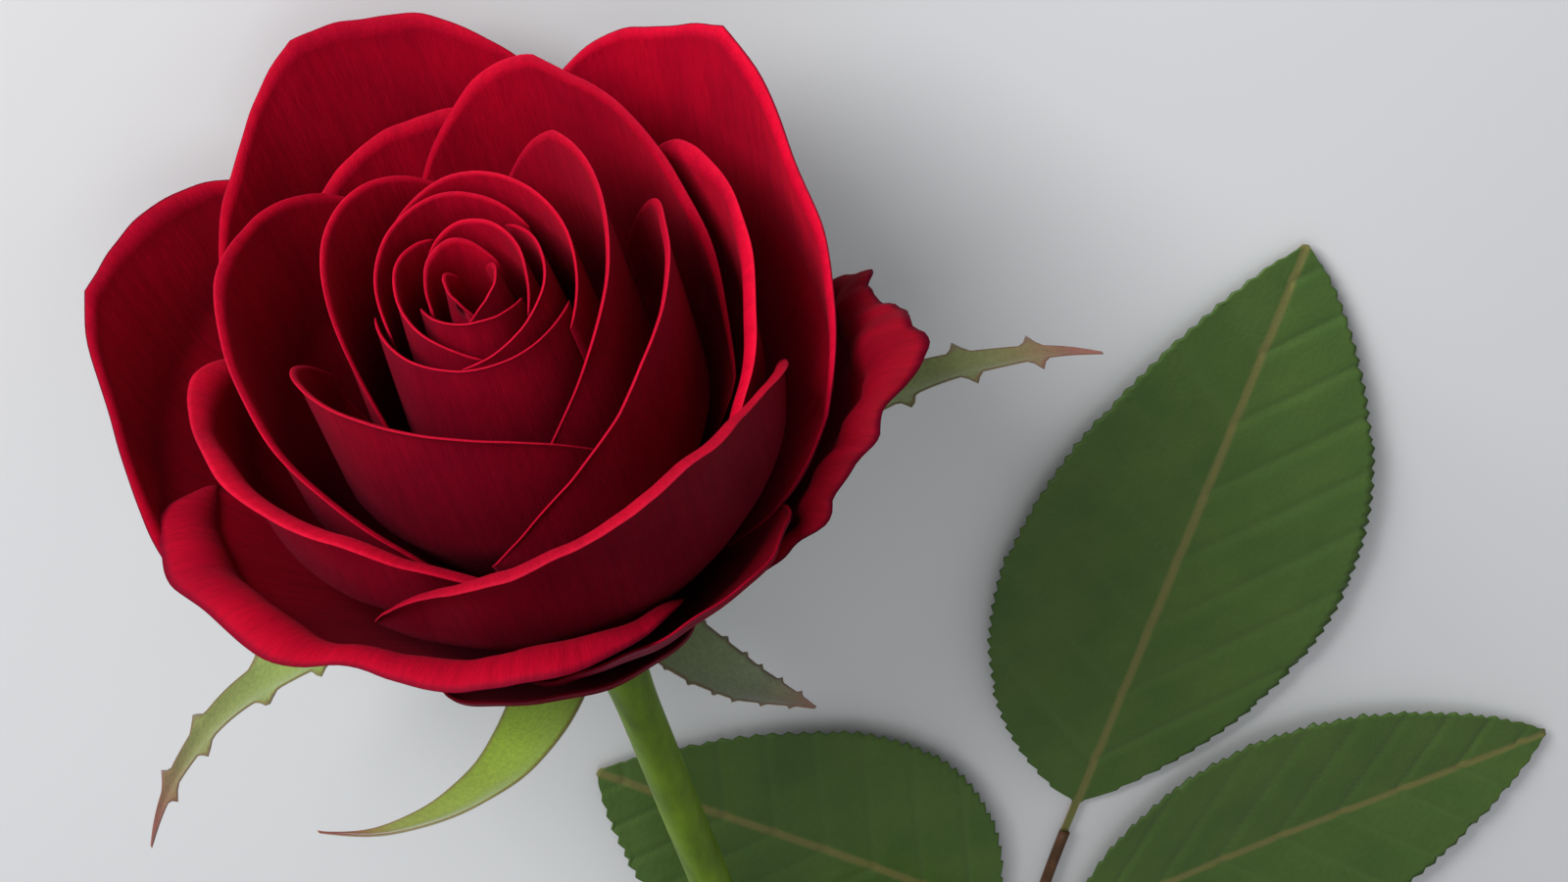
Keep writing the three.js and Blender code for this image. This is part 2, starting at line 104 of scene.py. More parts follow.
# The open petals, from the inside out: angle and half width of the petal, its reach beyond the
# heart, the change of reach from its middle to its end, its rise, the radius and angle of its turned
# edge, where across it the rim is highest, and the height and place of its tip. The last two are the
# depth and number of its waves, which only the fine petals have.
PETAL_KEYS = (
    "name", "angle", "half", "reach", "slew", "rise", "roll", "curl", "lean", "tip",
    "tip_at", "wave", "waves",
)
OPEN_PETALS = [
    ("inner_1", 310, 86, 2.9, 0, 2, 1.2, 40, 0.1, 0, 0.0, 0.2, 2),
    ("inner_2", 168, 90, 4.4, 2.5, 5, 1.4, 40, 0.15, 2, 0.5, 0.3, 2),
    ("inner_3", 46, 78, 7.9, -2, 5, 1.8, 45, 0, 0, 0.2, 0.3, 2),
    ("inner_4", 138, 74, 10.4, 0, 6, 1.8, 45, 0.15, 0, -0.1, 0.4, 3),
    ("middle_1", 348, 72, 15.4, -3, 2, 2.2, 50, -0.1, 1, -0.2, 0.4, 3),
    ("middle_2", 219, 60, 14.7, 0, 3, 2, 50, 0.1, 2, 0.25, 0.5, 3),
    ("middle_3", 163, 62, 17.9, 0, 3, 3, 60, 0.2, 0, 0.2, 0.6, 3),
    ("middle_4", 22, 60, 19.4, -3, 6, 5, 65, 0.15, 0, 0.0, 0.6, 3),
    ("middle_5", 266, 50, 20.9, 0, -9, 2.2, 50, 0.1, 0, 0.1, 0.5, 3),
    ("middle_6", 101, 60, 22.1, 0, 14, 3.6, 75, 0, 1, 0.2, 0.5, 4),
    ("outer_1", 277, 54, 24.4, 0, 4, 2.4, 45, 0, 3, 0.1, 0.8, 3),
    ("outer_2", 48, 60, 26.9, -2, 5, 8, 85, 0.15, 0, 0.1, 0.8, 4),
    ("outer_3", 193, 58, 27.4, 0, 5, 2.4, 50, 0.15, 6, 0.2, 0.8, 3),
    ("outer_4", 336, 54, 33.4, 0, 1, 3, 50, 0, 5, -0.1, 0.8, 3),
    ("outer_5", 103, 39, 28.9, 0, -2, 1.8, 50, 0.2, 0, 0.0, 0.8, 3),
    ("outer_6", 156, 34, 31.4, 0, -4, 5.5, 95, 0, 2, 0.0, 1.6, 5),
    ("outer_7", 78, 34, 31.9, 0, -7, 1.6, 50, 0, 0, 0.0, 0.6, 2),
]

# Painted shade and light: petals darkened where they lie in shade, and lightened where they catch the light
PETAL_LIGHT_AND_SHADE = {
    "middle_3": 1.2,
    "middle_6": 0.85,
    "outer_2": 0.85,
    "outer_3": 1.25,
    "outer_6": 0.45,
    "outer_7": 0.65,
}

# The fine petals. Wander, notches and flutter are shares of the roll's radius and of the wave's depth,
# and the rates are how many times finer than the waves they are.
ROLL_WANDER = 0.35
NOTCH_DEPTH = 0.3
NOTCH_RATE = 4
NOTCH_SEED = 90
FLUTTER_DEPTH = 0.7
FLUTTER_RATE = 1.7
FLUTTER_SEED = 50
HEART_WAVE = (0.15, 2)  # depth and number of the waves
HEART_GRID = (33, 22, 4)  # columns, rows of the blade, and rows of the turned edge
OPEN_GRID = (81, 34, 9)
EDGE_THICKNESS = 0.22  # as a share of PETAL_THICKNESS
THICKENING = 0.58  # from the edge to the blade
EDGE_WIDTH = 0.1
OUTERMOST_REACH = 50  # reach at which a petal's depth is 1

# Name, angle of the foot, length, drift of the tip, height of the tip, breadth, depth of the teeth,
# and tone, from 0 for grey down to 1 for bare lime
SEPALS = [
    ("sepal_1", 342, 50, 34, 8, 1.0, 1.5, 0.75),
    ("sepal_2", 52, 34, -26, 2, 1.5, 0.0, 1.0),
    ("sepal_3", 122, 22, 4, -3, 1.2, 0.5, 0.1),
    ("sepal_4", 198, 56, -22, 11, 1.0, 1.7, 0.6),
    ("sepal_5", 270, 24, 4, 8, 1.0, 0.8, 0.5),
]

LEAF_JOINT = 169
LEAF_HEADING = 237
RACHIS_LENGTH = 89
LEAFLET_SETOFF = 0.8

# Name, distance back from the stalk's end, side, angle, length, width, height of the tip
LEAFLETS = [
    ("leaflet_end", 0, 0, 0, 97, 52, 1),
    ("leaflet_upper_left", 16, 1, 73, 73, 42, 0.8),
    ("leaflet_upper_right", 19, -1, 59, 79, 42, 1),
    ("leaflet_lower_left", 39, 1, 47, 38, 21, 6),
    ("leaflet_lower_right", 43, -1, 80, 46, 28, 1),
]


def ease(t):
    return t * t * (3 - 2 * t)


def angle_between(a, b):
    turn = abs(a - b) % 360
    return min(turn, 360 - turn)


def ripple(x, seed):
    """A smooth, seeded wander of about -1 to 1 along x."""
    phase = np.random.default_rng(seed).uniform(0, 2 * np.pi, 3)
    slow, middle, quick = (np.sin(rate * x + turn) for rate, turn in zip((1, 2.3, 4.1), phase))
    return (slow + 0.6 * middle + 0.35 * quick) / 1.6


# Petals as dictionaries


def all_petals():
    made = []
    for k in range(HEART_PETALS):
        reach = HEART_START + k * HEART_PITCH
        values = (f"heart_{k + 1}", k * HEART_TURN % 360, HEART_HALF, reach, 0, 0, HEART_ROLL, HEART_CURL)
        values += (0, 0, 0, *HEART_WAVE)
        made.append(dict(zip(PETAL_KEYS, values), shoulder=HEART_SHOULDER, heart=True))
    for values in OPEN_PETALS:
        petal = dict(zip(PETAL_KEYS, values), shoulder=OPEN_SHOULDER, heart=False)
        petal["reach"] += HEART_EDGE
        made.append(petal)
    for k, petal in enumerate(made):
        petal["seed"] = k
        petal["foot"] = CLAW_RADIUS
        for inner in made[:k]:
            apart = min(1, angle_between(inner["angle"], petal["angle"]) / CLAW_SECTOR)
            petal["foot"] = max(petal["foot"], inner["foot"] + CLAW_PITCH * (1 - apart))
    return made


PETALS = all_petals()
RECEPTACLE_RADIUS = max(petal["foot"] for petal in PETALS) + PETAL_THICKNESS


def dome_height(radius):
    return DOME_HEIGHT * (1 - (radius / RECEPTACLE_RADIUS) ** 2)


# From the flower's frame to the part's


# Radii and heights, from the foot up
RECEPTACLE_OUTLINE = [
    (STEM_RADIUS + RECEPTACLE_COLLAR, -RECEPTACLE_DEPTH),
    (RECEPTACLE_RADIUS * 0.72, -RECEPTACLE_DEPTH * 0.76),
    (RECEPTACLE_RADIUS * 1.02, -RECEPTACLE_DEPTH * 0.41),
    (RECEPTACLE_RADIUS, -RECEPTACLE_DEPTH * 0.06),
    (RECEPTACLE_RADIUS, dome_height(RECEPTACLE_RADIUS)),
]


def tilted(points):
    """Turns flower-frame points so that the bloom faces -Y and looks up by its tilt."""
    turn = np.radians(90 - BLOOM_TILT)
    x, y, z = np.moveaxis(np.asarray(points, float), -1, 0)
    return np.stack([x, y * np.cos(turn) - z * np.sin(turn), y * np.sin(turn) + z * np.cos(turn)], -1)


PACKED_SIDES = 24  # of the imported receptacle


def receptacle_place():
    """Where the flower's origin lies in the part, in millimetres, from the receptacle's box."""
    turns = np.arange(PACKED_SIDES) * 2 * np.pi / PACKED_SIDES
    rings = [(r * np.sin(t), -r * np.cos(t), h) for r, h in RECEPTACLE_OUTLINE for t in turns]
    low = np.array(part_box("receptacle")[0]) / MM
    return low - tilted(rings).min(0)


ORIGIN = receptacle_place()


def laid(points):
    return tilted(points) + ORIGIN


NECK = laid([0, 0, -RECEPTACLE_DEPTH])
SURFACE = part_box("sepal_5")[0][2] / MM  # where the lowest sepal rests, just over the stem's lowest dip


# Meshes


def new_object(name, vertices, faces, numbers, materials, material_of=None):
    """A smooth-shaded object, with one float attribute per vertex for each entry of numbers."""
    mesh = bpy.data.meshes.new(name)
    mesh.from_pydata((np.asarray(vertices) * MM).tolist(), [], faces)
    for key, values in numbers.items():
        made = mesh.attributes.new(key, "FLOAT", "POINT")
        made.data.foreach_set("value", np.asarray(values, np.float32).ravel())
    for material in materials:
        mesh.materials.append(material)
    if material_of is not None:
        mesh.polygons.foreach_set("material_index", np.asarray(material_of, np.int32))
    mesh.shade_smooth()
    mesh.validate()
    made = bpy.data.objects.new(name, mesh)
    bpy.context.scene.collection.objects.link(made)
    return made


def take_place(piece, slot, *nodes):
    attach(piece, "root")
    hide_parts(*nodes)
    return piece


def grid_faces(rows, columns, start, reverse):
    """Quads of a grid of points, rows by columns, whose first vertex is number start."""
    i, j = np.meshgrid(np.arange(columns - 1), np.arange(rows - 1))
    a = (start + j * columns + i).ravel()
    quads = np.stack([a, a + 1, a + 1 + columns, a + columns], 1)
    return quads[:, ::-1] if reverse else quads


def sheet(middle, thickness):
    """Vertices, faces and side of a closed sheet round a grid of middle points, rows by columns by 3.

    thickness is a grid too. The rim is closed by a strip of quads.
    """
    rows, columns = middle.shape[:2]
    along_u = np.gradient(middle, axis=1)
    along_v = np.gradient(middle, axis=0)
    normal = np.cross(along_u, along_v)
    normal /= np.maximum(np.linalg.norm(normal, axis=-1, keepdims=True), 1e-9)
    offset = normal * thickness[..., None] / 2
    vertices = np.concatenate([(middle + offset).reshape(-1, 3), (middle - offset).reshape(-1, 3)])
    layer = rows * columns
    faces = [grid_faces(rows, columns, 0, False), grid_faces(rows, columns, layer, True)]
    grid = np.arange(layer).reshape(rows, columns)
    loop = np.concatenate([grid[0, :-1], grid[:-1, -1], grid[-1, :0:-1], grid[:0:-1, 0]])
    after = np.roll(loop, -1)
    faces.append(np.stack([after, loop, loop + layer, after + layer], 1))
    side = np.repeat([0.0, 1.0], layer)
    return vertices, np.concatenate(faces).tolist(), side


def both(grid):
    return np.concatenate([grid.ravel(), grid.ravel()])


def tube(route, radii, sides=16):
    """Vertices and faces of a closed tube along route, with flat ends."""
    forward = np.gradient(route, axis=0)
    forward /= np.linalg.norm(forward, axis=1, keepdims=True)
    across = np.cross(forward, [0.0, 0.0, 1.0])
    across /= np.linalg.norm(across, axis=1, keepdims=True)
    upward = np.cross(across, forward)
    turn = np.arange(sides) * 2 * np.pi / sides
    ring = across[:, None] * np.cos(turn)[None, :, None] + upward[:, None] * np.sin(turn)[None, :, None]
    vertices = (route[:, None] + ring * radii[:, None, None]).reshape(-1, 3)
    faces = []
    for j in range(len(route) - 1):
        for i in range(sides):
            a, b = j * sides + i, j * sides + (i + 1) % sides
            faces.append([a, b, b + sides, a + sides])
    faces.append(list(range(sides))[::-1])
    faces.append([(len(route) - 1) * sides + i for i in range(sides)])
    return vertices, faces


# Petals


def petal_reach(petal, across):
    return petal["reach"] + petal["slew"] * across


def rim_height(petal, across, angle):
    reach = petal_reach(petal, across)
    uppermost = (1 + np.sin(np.radians(angle))) / 2
    crown = CROWN_RISE * np.minimum(1, reach / CROWN_REACH)
    return HEART_HEIGHT + crown + petal["rise"] - reach * (RIM_FALL + UPPER_FALL * uppermost)


def petal_radius(petal, across, height):
    rim = petal_reach(petal, across)
    belly = BELLY_START + BELLY_SHARE * rim
    start = dome_height(petal["foot"])
    t = np.clip((height - start) / (BELLY_HEIGHT - start), 0, 1)
    cup = petal["foot"] + (belly - petal["foot"]) * t * (CUP_FULLNESS - (CUP_FULLNESS - 1) * t)
    over = (height - BELLY_HEIGHT) / (HEART_HEIGHT - BELLY_HEIGHT)
    return np.where(height < BELLY_HEIGHT, cup, belly + (rim - belly) * over)


def petal_grid(petal, columns, rows, roll_rows):
    across = np.linspace(-1, 1, columns)[None, :]
    blade = np.concatenate([np.linspace(0, 1, rows), np.ones(roll_rows)])[:, None]
    rolled = np.concatenate([np.zeros(rows), np.linspace(0, 1, roll_rows + 1)[1:]])[:, None]
    foot = dome_height(petal["foot"]) + GAP + PETAL_THICKNESS
    width = CLAW_WIDTH + (1 - CLAW_WIDTH) * ease(np.clip(blade / CLAW_LENGTH, 0, 1))
    angle = petal["angle"] + petal["half"] * across * width
    peak = petal["tip"] * np.maximum(0, 1 - np.abs(across - petal["tip_at"]) / TIP_SPREAD) ** TIP_POWER
    wander = ripple(across * petal["waves"], petal["seed"])
    roll = petal["roll"] * (1 - across**ROLL_POWER) * (1 + ROLL_WANDER * wander) + MINIMUM_ROLL
    turn = np.radians(petal["curl"])
    rim = rim_height(petal, across, angle) - roll * np.sin(min(turn, np.pi / 2))
    from_peak = np.abs(across - petal["lean"] * (1 - across**2))
    notched = ripple(across * petal["waves"] * NOTCH_RATE, petal["seed"] + NOTCH_SEED)
    notches = NOTCH_DEPTH * petal["wave"] * notched
    shouldered = rim * (1 - petal["shoulder"] * from_peak**SHOULDER_POWER)
    top = shouldered + peak + petal["wave"] * wander + notches
    height = foot + (top - foot) * blade
    cup = petal_radius(petal, across, height) - petal["foot"]
    fluttered = ripple(across * petal["waves"] * FLUTTER_RATE, petal["seed"] + FLUTTER_SEED)
    flutter = petal["wave"] * FLUTTER_DEPTH * fluttered * blade**4
    radius = petal["foot"] + cup * (1 - TUCK * across**2) + flutter
    reach = radius + roll * (1 - np.cos(rolled * turn))
    rise = height + roll * np.sin(rolled * turn)
    grid = np.stack([reach * np.cos(np.radians(angle)), reach * np.sin(np.radians(angle)), rise], -1)
    share = (np.arange(rows + roll_rows) / (rows + roll_rows - 1))[:, None] + 0 * across
    return grid, across + 0 * blade, share


def build_petals(inner_face, outer_face, slot_of):
    for petal in PETALS:
        columns, rows, roll_rows = HEART_GRID if petal["heart"] else OPEN_GRID
        grid, across, share = petal_grid(petal, columns, rows, roll_rows)
        edge = np.minimum(1 - np.abs(across), 1 - share)
        thickening = THICKENING * np.clip(edge / EDGE_WIDTH, 0, 1) ** 0.5
        thickness = PETAL_THICKNESS * (EDGE_THICKNESS + thickening)
        vertices, faces, _ = sheet(laid(grid), thickness)
        width_mm = petal["reach"] * np.radians(petal["half"]) * across
        numbers = {
            "along": both(share),
            "across_mm": both(width_mm),
            "along_mm": both(share * rim_height(petal, 0, petal["angle"])),
            "seed": np.full(len(vertices), float(petal["seed"])),
            "depth": np.full(len(vertices), petal["reach"] / OUTERMOST_REACH),
            # painted shade and light over the whole petal
            "tone": np.full(len(vertices), PETAL_LIGHT_AND_SHADE.get(petal["name"], 1.0)),
        }
        outward = np.zeros(len(faces), int)
        quads = (grid.shape[0] - 1) * (grid.shape[1] - 1)
        outward[:quads] = 1
        name = f"petal_{petal['name']}"
        piece = new_object(f"fine_{name}", vertices, faces, numbers, [inner_face, outer_face], outward)
        take_place(piece, slot_of(name), name)


# Materials


class Nodes:
    """Short calls for building one material's node tree."""

    def __init__(self, name):
        self.material = bpy.data.materials.new(name)
        self.material.use_nodes = True
        self.tree = self.material.node_tree
        self.shader = self.tree.nodes["Principled BSDF"]

    def link(self, source, target):
        self.tree.links.new(source, target)

    def put(self, socket, value):
        if isinstance(value, bpy.types.NodeSocket):
            self.link(value, socket)
        else:
            socket.default_value = value

    def attribute(self, name):
        node = self.tree.nodes.new("ShaderNodeAttribute")
        node.attribute_name = name
        return node.outputs["Fac"]

    def math(self, operation, a, b=0.0, c=0.0):
        node = self.tree.nodes.new("ShaderNodeMath")
        node.operation = operation
        for socket, value in zip(node.inputs, (a, b, c)):
            self.put(socket, value)
        return node.outputs[0]

    def combine(self, x, y, z):
        node = self.tree.nodes.new("ShaderNodeCombineXYZ")
        for socket, value in zip(node.inputs, (x, y, z)):
            self.put(socket, value)
        return node.outputs[0]

    def noise(self, vector, scale, detail=3.0, roughness=0.55):
        node = self.tree.nodes.new("ShaderNodeTexNoise")
        self.put(node.inputs["Vector"], vector)
        node.inputs["Scale"].default_value = scale
        node.inputs["Detail"].default_value = detail
        node.inputs["Roughness"].default_value = roughness
        return node.outputs["Fac"]

    def ramp(self, value, stops):
        node = self.tree.nodes.new("ShaderNodeValToRGB")
        self.link(value, node.inputs[0])
        elements = node.color_ramp.elements
        while len(elements) < len(stops):
            elements.new(0.5)
        for element, (place, colour) in zip(elements, stops):
            element.position = place
            element.color = (*colour, 1)
        return node.outputs["Color"]

    def smooth(self, value, start, end):
        node = self.tree.nodes.new("ShaderNodeMapRange")
        node.interpolation_type = "SMOOTHSTEP"
        self.put(node.inputs["Value"], value)
        node.inputs["From Min"].default_value = start
        node.inputs["From Max"].default_value = end
        return node.outputs["Result"]

    def mix(self, factor, a, b, blend="MIX"):
        node = self.tree.nodes.new("ShaderNodeMix")
        node.data_type = "RGBA"
        node.blend_type = blend
        self.put(node.inputs["Factor"], factor)
        for socket, value in ((node.inputs[6], a), (node.inputs[7], b)):
            self.put(socket, (*value, 1) if isinstance(value, tuple) else value)
        return node.outputs[2]

    def bump(self, height, strength, distance):
        node = self.tree.nodes.new("ShaderNodeBump")
        self.link(height, node.inputs["Height"])
        node.inputs["Strength"].default_value = strength
        node.inputs["Distance"].default_value = distance
        self.link(node.outputs["Normal"], self.shader.inputs["Normal"])

    def finish(self, colour, roughness, specular=0.3):
        self.put(self.shader.inputs["Base Color"], colour)
        self.put(self.shader.inputs["Roughness"], roughness)
        self.shader.inputs["Specular IOR Level"].default_value = specular
        return self.material


# Colours from a petal's foot to its edge. The dark foot is partly the petal's own colour and partly painted
# shade, where the petals close round one another.
BACK_REDS_AND_SHADE = [
    (0.0, (0.16, 0.06, 0.02)),
    (0.18, (0.04, 0.0003, 0.003)),
    (0.55, (0.14, 0.0005, 0.009)),
    (0.8, (0.24, 0.0008, 0.014)),
    (1.0, (0.30, 0.0015, 0.018)),
]
FACE_REDS_AND_SHADE = [
    (0.0, (0.05, 0.005, 0.005)),
    (0.3, (0.07, 0.0002, 0.003)),
    (0.5, (0.24, 0.0004, 0.009)),
    (0.75, (0.38, 0.0007, 0.015)),
    (1.0, (0.44, 0.0015, 0.020)),
]
DRY_EDGE = (0.05, 0.0, 0.008)
# painted highlight along the edge of a young petal
PAINTED_EDGE_HIGHLIGHT = (0.60, 0.02, 0.06)
# painted sheen: a silvery purple cast on the backs of the old petals
PAINTED_SHEEN_PURPLE = (0.17, 0.055, 0.095)


def petal_material(name, outer):
    """Velvet: fibres that run to the edge, dark at the foot, partly as painted shade, and bright near the
    edge. Young petals get a painted highlight along the edge, and old petals a painted silvery sheen on the
    back.
    """
    nodes = Nodes(name)
    scaled = lambda value, rate: nodes.math("MULTIPLY", value, rate)
    across, along = nodes.attribute("across_mm"), nodes.attribute("along_mm")
    share, seed = nodes.attribute("along"), nodes.attribute("seed")
    depth = nodes.attribute("depth")
    fibres = nodes.noise(nodes.combine(scaled(across, 9.0), scaled(along, 0.45), seed), 1.0, 3.0, 0.6)
    veins = nodes.noise(nodes.combine(scaled(across, 1.1), scaled(along, 0.07), seed), 1.0, 2.0)
    clouds = nodes.noise(nodes.combine(across, along, scaled(seed, 7.3)), 0.07, 2.0)
    # dark at the foot: partly the petal's own colour, partly painted shade
    colour = nodes.ramp(share, BACK_REDS_AND_SHADE if outer else FACE_REDS_AND_SHADE)
    shade = nodes.ramp(fibres, [(0.25, (0.66, 0.62, 0.66)), (0.75, (1.2, 1.2, 1.2))])
    colour = nodes.mix(0.8, colour, shade, "MULTIPLY")
    shade = nodes.ramp(veins, [(0.3, (0.78, 0.7, 0.8)), (0.65, (1.08, 1.05, 1.05))])
    colour = nodes.mix(0.6, colour, shade, "MULTIPLY")
    shade = nodes.ramp(clouds, [(0.35, (0.70, 0.66, 0.80)), (0.65, (1.12, 1.0, 0.95))])
    colour = nodes.mix(0.55, colour, shade, "MULTIPLY")
    # painted shade and light over the whole petal
    tone = nodes.attribute("tone")
    colour = nodes.mix(1.0, colour, nodes.combine(tone, tone, tone), "MULTIPLY")
    edge = nodes.smooth(share, 0.975, 1.0)
    old = nodes.smooth(depth, 0.66, 0.8)
    young = nodes.math("SUBTRACT", 1.0, old)
    colour = nodes.mix(nodes.math("MULTIPLY", edge, scaled(old, 0.75)), colour, DRY_EDGE)
    # painted highlight along the edges of the young petals
    colour = nodes.mix(nodes.math("MULTIPLY", edge, scaled(young, 0.12)), colour, PAINTED_EDGE_HIGHLIGHT)
    if outer:
        # painted sheen: silvery purple patches on the backs of the old petals
        painted_sheen = scaled(nodes.math("MULTIPLY", old, nodes.smooth(clouds, 0.4, 0.7)), 0.5)
        colour = nodes.mix(painted_sheen, colour, PAINTED_SHEEN_PURPLE)
    nodes.bump(nodes.math("ADD", fibres, scaled(veins, 1.5)), 0.35, 0.00025)
    nodes.shader.inputs["Sheen Weight"].default_value = 0.05
    nodes.shader.inputs["Sheen Roughness"].default_value = 0.4
    nodes.shader.inputs["Sheen Tint"].default_value = (1.0, 0.10, 0.18, 1)
    return nodes.finish(colour, nodes.math("MULTIPLY_ADD", fibres, 0.2, 0.6), 0.05)


def leaf_material(name):
    nodes = Nodes(name)
    side, along = nodes.attribute("across_mm"), nodes.attribute("along_mm")
    vein, rib = nodes.attribute("vein"), nodes.attribute("rib")
    place = nodes.combine(side, along, nodes.attribute("seed"))
    cells = nodes.noise(place, 1.3, 4.0)
    clouds = nodes.noise(place, 0.09, 2.0)
    colour = nodes.ramp(clouds, [(0.3, (0.022, 0.066, 0.002)), (0.7, (0.068, 0.125, 0.012))])
    shade = nodes.ramp(cells, [(0.3, (0.75, 0.78, 0.72)), (0.7, (1.2, 1.2, 1.15))])
    colour = nodes.mix(0.7, colour, shade, "MULTIPLY")
    colour = nodes.mix(nodes.math("MULTIPLY", vein, 0.55), colour, (0.085, 0.15, 0.035))
    colour = nodes.mix(nodes.smooth(rib, 0.2, 0.8), colour, (0.27, 0.18, 0.06))
    under = nodes.smooth(nodes.attribute("side"), 0.4, 0.6)
    colour = nodes.mix(nodes.math("MULTIPLY", under, 0.6), colour, (0.08, 0.14, 0.04))
    nodes.bump(cells, 0.3, 0.0003)
    return nodes.finish(colour, nodes.math("MULTIPLY_ADD", cells, 0.15, 0.3), 0.22)


# Colours from a sepal's foot to its tip
BARE_GREENS = [
    (0.0, (0.12, 0.20, 0.01)),
    (0.35, (0.24, 0.36, 0.03)),
    (0.8, (0.17, 0.20, 0.04)),
    (0.95, (0.17, 0.035, 0.025)),
]
FELT_GREENS = [
    (0.0, (0.12, 0.16, 0.07)),
    (0.6, (0.22, 0.26, 0.17)),
    (0.95, (0.16, 0.10, 0.07)),
]


def sepal_material(name):
    nodes = Nodes(name)
    share, side = nodes.attribute("along"), nodes.attribute("side")
    place = nodes.combine(nodes.attribute("across_mm"), nodes.attribute("along_mm"), nodes.attribute("seed"))
    down = nodes.noise(place, 2.2, 5.0, 0.7)
    bare, felt = nodes.ramp(share, BARE_GREENS), nodes.ramp(share, FELT_GREENS)
    colour = nodes.mix(nodes.attribute("tone"), felt, bare)
    shade = nodes.ramp(down, [(0.3, (0.7, 0.72, 0.66)), (0.7, (1.25, 1.25, 1.2))])
    colour = nodes.mix(0.7, colour, shade, "MULTIPLY")
    inside = nodes.math("SUBTRACT", 1.0, nodes.smooth(side, 0.4, 0.6))
    colour = nodes.mix(nodes.math("MULTIPLY", inside, 0.45), colour, (0.52, 0.62, 0.30))
    edge = nodes.smooth(nodes.attribute("edge"), 0.86, 1.0)
    colour = nodes.mix(nodes.math("MULTIPLY", edge, 0.6), colour, (0.12, 0.03, 0.03))
    nodes.bump(down, 0.4, 0.0003)
    nodes.shader.inputs["Sheen Weight"].default_value = 0.5
    nodes.shader.inputs["Sheen Roughness"].default_value = 0.5
    return nodes.finish(colour, 0.62, 0.25)


def bark_material(name, pale, dark, scale):
    nodes = Nodes(name)
    coordinates = nodes.tree.nodes.new("ShaderNodeTexCoord").outputs["Object"]
    streaks = nodes.tree.nodes.new("ShaderNodeMapping")
    streaks.inputs["Scale"].default_value = (1.0, 0.12, 1.0)
    nodes.link(coordinates, streaks.inputs["Vector"])
    grain = nodes.noise(streaks.outputs["Vector"], scale, 4.0)
    spots = nodes.noise(coordinates, scale * 0.4, 2.0)
    colour = nodes.ramp(grain, [(0.3, dark), (0.7, pale)])
    shade = nodes.ramp(spots, [(0.35, (0.8, 0.8, 0.75)), (0.65, (1.15, 1.12, 1.0))])
    colour = nodes.mix(0.7, colour, shade, "MULTIPLY")
    nodes.bump(grain, 0.25, 0.0003)
    return nodes.finish(colour, nodes.math("MULTIPLY_ADD", spots, 0.2, 0.42), 0.25)


def stamen_material():
    nodes = Nodes("stamen_pollen")
    coordinates = nodes.tree.nodes.new("ShaderNodeTexCoord").outputs["Object"]
    dust = nodes.noise(coordinates, 1500.0, 3.0)
    colour = nodes.ramp(dust, [(0.3, (0.45, 0.22, 0.03)), (0.7, (0.72, 0.50, 0.10))])
    nodes.bump(dust, 0.4, 0.0002)
    return nodes.finish(colour, 0.8, 0.2)


# Receptacle and stamens


RECEPTACLE_RINGS = 40
RECEPTACLE_SIDES = 64
DOME_RINGS = 14
RIBS = 10
RIB_DEPTH = 0.012  # as a share of the radius


def build_receptacle(material):
    """A smooth urn with faint ribs, closed at top and bottom."""
    heights = np.array([h for _, h in RECEPTACLE_OUTLINE])
    radii = np.array([r for r, _ in RECEPTACLE_OUTLINE])
    fine = np.linspace(heights[0], heights[-1], RECEPTACLE_RINGS)
    outline = [(r, h) for h, r in zip(fine, np.interp(fine, heights, radii))]
    dome = RECEPTACLE_RADIUS * np.linspace(0.95, 0.05, DOME_RINGS)
    outline += [(radius, dome_height(radius)) for radius in dome]
    sides = RECEPTACLE_SIDES
    turn = np.arange(sides) * 2 * np.pi / sides
    points = []
    for radius, height in outline:
        ribbed = radius * (1 - RIB_DEPTH * (1 + np.cos(RIBS * turn)))
        points.append(np.stack([ribbed * np.cos(turn), ribbed * np.sin(turn), 0 * turn + height], -1))
    vertices = laid(np.concatenate(points))
    faces = []
    for j in range(len(outline) - 1):
        for i in range(sides):
            a, b = j * sides + i, j * sides + (i + 1) % sides
            faces.append([a, b, b + sides, a + sides])
    faces.append(list(range(sides))[::-1])
    faces.append([(len(outline) - 1) * sides + i for i in range(sides)])
    take_place(new_object("fine_receptacle", vertices, faces, {}, [material]), "receptacle", "receptacle")


STAMENS = 26
STAMEN_SPREAD = (0.2, 1.1)
STAMEN_LENGTH = (5, 8)
THREAD_RADIUS = 0.09
HEAD_RADIUS = 0.28
HEAD_START = 0.85  # share of its length at which a stamen's head begins
STAMEN_SIDES = 6


def build_stamens(material):
    """Threads with a thicker head each, shut in by the innermost petals."""
    source = np.random.default_rng(7)
    vertices, faces = [], []
    for _ in range(STAMENS):
        turn, spread = source.uniform(0, 2 * np.pi), source.uniform(*STAMEN_SPREAD)
        length = source.uniform(*STAMEN_LENGTH)
        steps = np.linspace(0, 1, 6)
        reach = 0.5 * spread + 0.5 * spread * steps
        height = DOME_HEIGHT + GAP + length * steps
        route = np.stack([reach * np.cos(turn), reach * np.sin(turn), height], -1)
        radii = np.where(steps > HEAD_START, HEAD_RADIUS, THREAD_RADIUS)
        points, quads = tube(laid(route), radii, STAMEN_SIDES)
        faces += [[v + sum(map(len, vertices)) for v in face] for face in quads]
        vertices.append(points)
    piece = new_object("fine_stamens", np.concatenate(vertices), faces, {}, [material])
    take_place(piece, "stamens", "stamens")


# Sepals


SEPAL_GRID = (90, 15)  # rows and columns
TEETH_RATE = 44
TEETH_POWER = 6  # more makes the teeth narrower
SEPAL_CUP = 1.32  # rise of a sepal's edges over its middle
SEPAL_SWAY = 0.5


